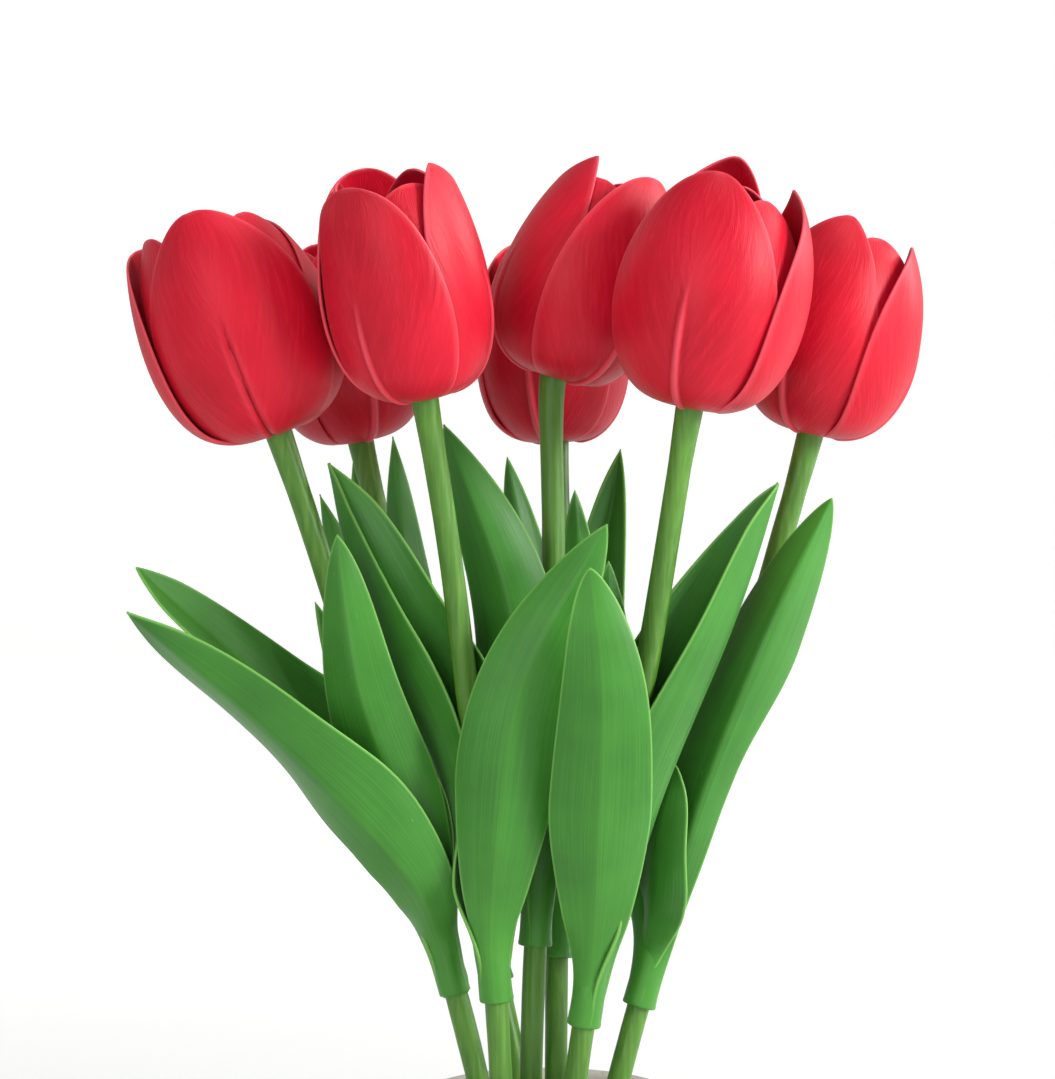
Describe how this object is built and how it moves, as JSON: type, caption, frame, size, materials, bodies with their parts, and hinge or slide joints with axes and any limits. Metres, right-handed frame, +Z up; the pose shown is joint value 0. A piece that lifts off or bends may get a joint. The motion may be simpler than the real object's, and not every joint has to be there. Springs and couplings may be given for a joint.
{
  "type": "tulips in a vase",
  "caption": "Bunch of red tulips with folded green leaves on straight stems, standing loose in a plain round-bellied ceramic vase.",
  "frame": {"origin": "centre of the vase's flat foot; the foot stands on the plane z = 0", "axes": "+Z up, along the vase's axis; +X to the right and -Y towards the front of the bunch"},
  "size_m": [0.1817, 0.1131, 0.3684],
  "materials": {
    "ceramic": "plain glossy glaze, off-white",
    "stem": "smooth soft-touch moulding, yellow-green",
    "leaf": "satin soft-touch moulding with faint veins, mid green",
    "petal": "satin soft-touch moulding with faint veins, red"
  },
  "bodies": {
    "root": {"tulip_1_inner_petal_1": "petal", "tulip_1_inner_petal_2": "petal", "tulip_1_inner_petal_3": "petal", "tulip_1_leaves": "leaf", "tulip_1_outer_petal_1": "petal", "tulip_1_outer_petal_2": "petal", "tulip_1_outer_petal_3": "petal", "tulip_1_stem": "stem", "tulip_2_inner_petal_1": "petal", "tulip_2_inner_petal_2": "petal", "tulip_2_inner_petal_3": "petal", "tulip_2_leaves": "leaf", "tulip_2_outer_petal_1": "petal", "tulip_2_outer_petal_2": "petal", "tulip_2_outer_petal_3": "petal", "tulip_2_stem": "stem", "tulip_3_inner_petal_1": "petal", "tulip_3_inner_petal_2": "petal", "tulip_3_inner_petal_3": "petal", "tulip_3_leaves": "leaf", "tulip_3_outer_petal_1": "petal", "tulip_3_outer_petal_2": "petal", "tulip_3_outer_petal_3": "petal", "tulip_3_stem": "stem", "tulip_4_inner_petal_1": "petal", "tulip_4_inner_petal_2": "petal", "tulip_4_inner_petal_3": "petal", "tulip_4_leaves": "leaf", "tulip_4_outer_petal_1": "petal", "tulip_4_outer_petal_2": "petal", "tulip_4_outer_petal_3": "petal", "tulip_4_stem": "stem", "tulip_5_inner_petal_1": "petal", "tulip_5_inner_petal_2": "petal", "tulip_5_inner_petal_3": "petal", "tulip_5_leaves": "leaf", "tulip_5_outer_petal_1": "petal", "tulip_5_outer_petal_2": "petal", "tulip_5_outer_petal_3": "petal", "tulip_5_stem": "stem", "tulip_6_inner_petal_1": "petal", "tulip_6_inner_petal_2": "petal", "tulip_6_inner_petal_3": "petal", "tulip_6_leaves": "leaf", "tulip_6_outer_petal_1": "petal", "tulip_6_outer_petal_2": "petal", "tulip_6_outer_petal_3": "petal", "tulip_6_stem": "stem", "tulip_7_inner_petal_1": "petal", "tulip_7_inner_petal_2": "petal", "tulip_7_inner_petal_3": "petal", "tulip_7_leaves": "leaf", "tulip_7_outer_petal_1": "petal", "tulip_7_outer_petal_2": "petal", "tulip_7_outer_petal_3": "petal", "tulip_7_stem": "stem", "vase": "ceramic"}
  },
  "joints": []
}
